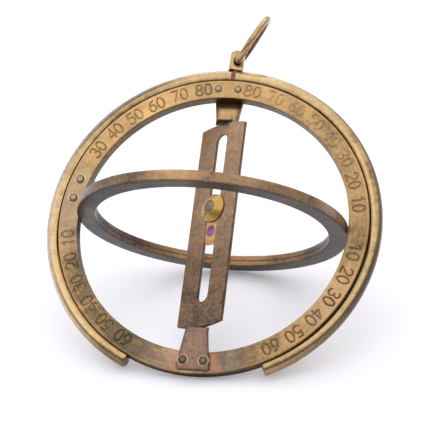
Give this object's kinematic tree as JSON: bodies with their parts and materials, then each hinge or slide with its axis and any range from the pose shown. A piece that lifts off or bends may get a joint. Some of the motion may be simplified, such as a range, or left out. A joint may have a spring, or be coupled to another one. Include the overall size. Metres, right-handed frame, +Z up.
{
  "type": "universal equinoctial ring dial",
  "caption": "Folding brass pocket ring dial: meridian ring with sliding suspension arc, hour ring hinged inside it, and a turning slotted bridge with a pinhole cursor.",
  "frame": {"origin": "on the table, under the middle of the overall box of the standing dial", "axes": "+X along the hour ring's pivots to the dial's right, +Y to the back, towards the suspension ring, +Z up"},
  "size_m": [0.0708, 0.0674, 0.0542],
  "materials": {
    "meridian_brass": "aged, worn satin",
    "hour_brass": "aged, darkened",
    "bronzed_brass": "bronzed, scratched",
    "polished_brass": "polished by handling",
    "fitting_brass": "hammered, dull",
    "cursor_brass": "turned, bright",
    "blued_steel": "dark, turned",
    "ruby": "polished",
    "red_enamel": "worn enamel"
  },
  "bodies": {
    "meridian": {"meridian_ring": "meridian_brass", "hour_pivot_left": "fitting_brass", "hour_pivot_right": "fitting_brass", "stop_block": "bronzed_brass", "stop_rivets": "fitting_brass", "upper_bracket": "bronzed_brass", "upper_bracket_rivets": "fitting_brass", "lower_bracket": "bronzed_brass", "lower_bracket_rivets": "fitting_brass"},
    "arc": {"suspension_arc": "polished_brass", "index_mark": "red_enamel"},
    "shackle": {"shackle_post": "polished_brass"},
    "loop": {"suspension_ring": "polished_brass"},
    "hours": {"hour_ring": "hour_brass"},
    "bridge": {"bridge_plate": "bronzed_brass"},
    "cursor": {"cursor_slide": "cursor_brass", "pinhole_jewel": "ruby", "cursor_knob": "cursor_brass", "cursor_stud": "blued_steel", "cursor_back_plate": "bronzed_brass", "cursor_spring": "cursor_brass"}
  },
  "joints": [
    {"name": "latitude_slide", "type": "hinge", "parent": "meridian", "child": "arc", "pos_m": [0, -0.00708, 0.02168], "axis": [0, 0.6328, -0.7743], "continuous": true},
    {"name": "shackle_swivel", "type": "hinge", "parent": "arc", "child": "shackle", "pos_m": [0.00085, 0.02185, 0.04532], "axis": [0.0227, 0.7741, 0.6327], "continuous": true},
    {"name": "suspension_swing", "type": "hinge", "parent": "shackle", "child": "loop", "pos_m": [0.00085, 0.02185, 0.04532], "axis": [-0.3583, 0.5971, -0.7177], "range_deg": [-124, 76]},
    {"name": "hour_ring_fold", "type": "hinge", "parent": "meridian", "child": "hours", "pos_m": [0, -0.00708, 0.02168], "axis": [-1, 0, 0], "range_deg": [0, 93]},
    {"name": "bridge_turn", "type": "hinge", "parent": "meridian", "child": "bridge", "pos_m": [0, -0.00708, 0.02168], "axis": [0, 0.7743, 0.6328], "continuous": true},
    {"name": "cursor_slide", "type": "slide", "parent": "bridge", "child": "cursor", "axis": [0, 0.7743, 0.6328], "range_m": [-0.012, 0.015]}
  ]
}
